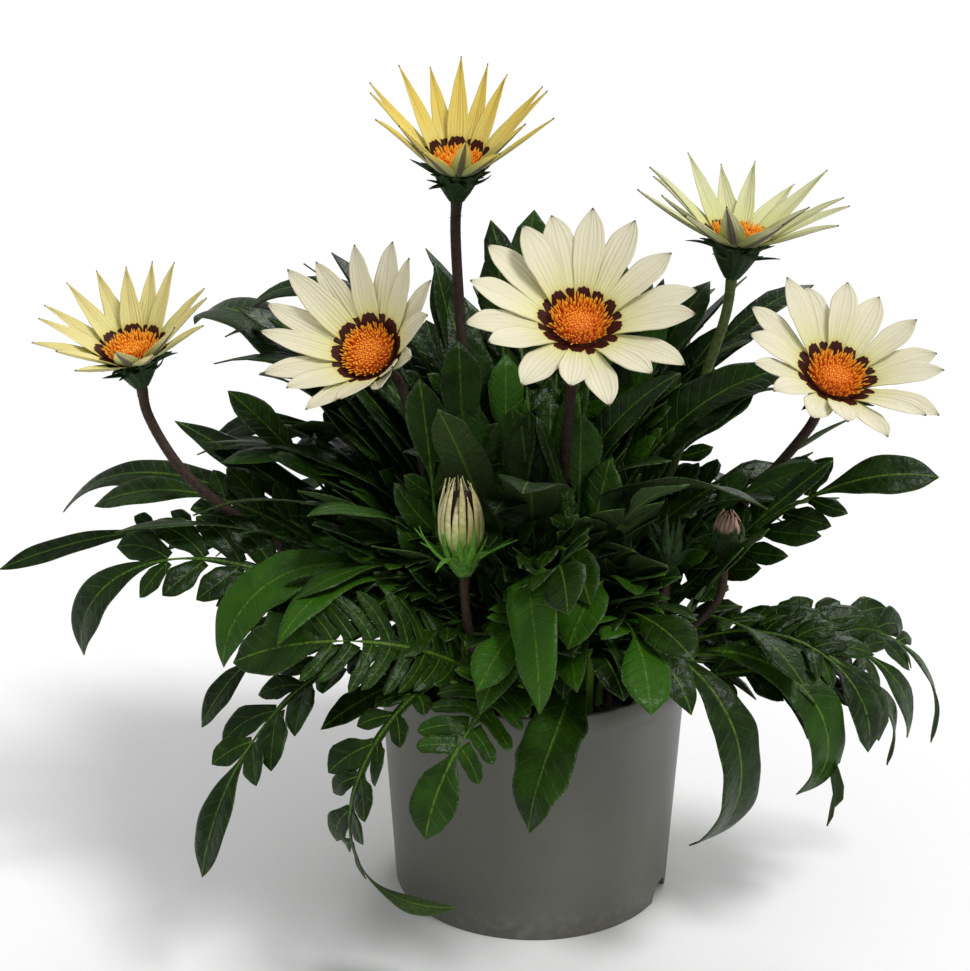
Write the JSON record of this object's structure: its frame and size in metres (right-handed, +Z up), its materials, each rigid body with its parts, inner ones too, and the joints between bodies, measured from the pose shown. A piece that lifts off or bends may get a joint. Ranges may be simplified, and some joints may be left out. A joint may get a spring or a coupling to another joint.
{
  "type": "gazania in a pot",
  "caption": "Gazania in flower: daisy-like blooms on long bare stalks over a rosette of lobed and plain leaves, growing in soil in a round tapering plastic pot.",
  "frame": {"origin": "centre of the pot's underside, on the ground", "axes": "+Z up out of the pot, -Y the plant's front, +X to the right of it"},
  "size_m": [0.3881, 0.2701, 0.3368],
  "materials": {
    "pot": "satin",
    "soil": "matte",
    "leaf": "satin",
    "ray_cream": "satin",
    "ray_yellow": "satin",
    "floret": "matte",
    "bract": "matte",
    "petal_faded": "matte",
    "stalk": "matte",
    "stalk_green": "matte"
  },
  "bodies": {
    "root": {"leaf_left_upper": "leaf", "leaf_far_left": "leaf", "leaf_left_blade": "leaf", "leaf_left_spray": "leaf", "leaf_left_low": "leaf", "leaf_left_bright": "leaf", "leaf_left_hanging": "leaf", "leaf_left_curl": "leaf", "leaf_left_fern": "leaf", "leaf_front_curl": "leaf", "leaf_front_fern": "leaf", "leaf_front_broad": "leaf", "leaf_right_rim": "leaf", "leaf_right_hanging": "leaf", "leaf_right_bright": "leaf", "leaf_right_leaflets": "leaf", "leaf_right_arch": "leaf", "leaf_right_broad": "leaf", "leaf_right_far": "leaf", "leaf_right_upper": "leaf", "tuft_back_left": "leaf", "tuft_back_right": "leaf", "tuft_middle": "leaf", "tuft_front": "leaf", "rays_top": "ray_yellow", "disc_top": "floret", "cup_top": "bract", "stalk_top": "stalk", "rays_right_back": "ray_cream", "disc_right_back": "floret", "cup_right_back": "bract", "stalk_right_back": "stalk_green", "rays_left": "ray_cream", "disc_left": "floret", "cup_left": "bract", "stalk_left": "stalk", "rays_left_centre": "ray_cream", "disc_left_centre": "floret", "cup_left_centre": "bract", "stalk_left_centre": "stalk", "rays_centre": "ray_cream", "disc_centre": "floret", "cup_centre": "bract", "stalk_centre": "stalk", "rays_right": "ray_cream", "disc_right": "floret", "cup_right": "bract", "stalk_right": "stalk", "cup_opening": "bract", "petals_opening": "ray_cream", "stalk_opening": "stalk", "cup_green": "bract", "stalk_green": "stalk", "cup_spent": "bract", "petals_spent": "petal_faded", "stalk_spent": "stalk", "pot": "pot", "soil": "soil"}
  },
  "joints": []
}
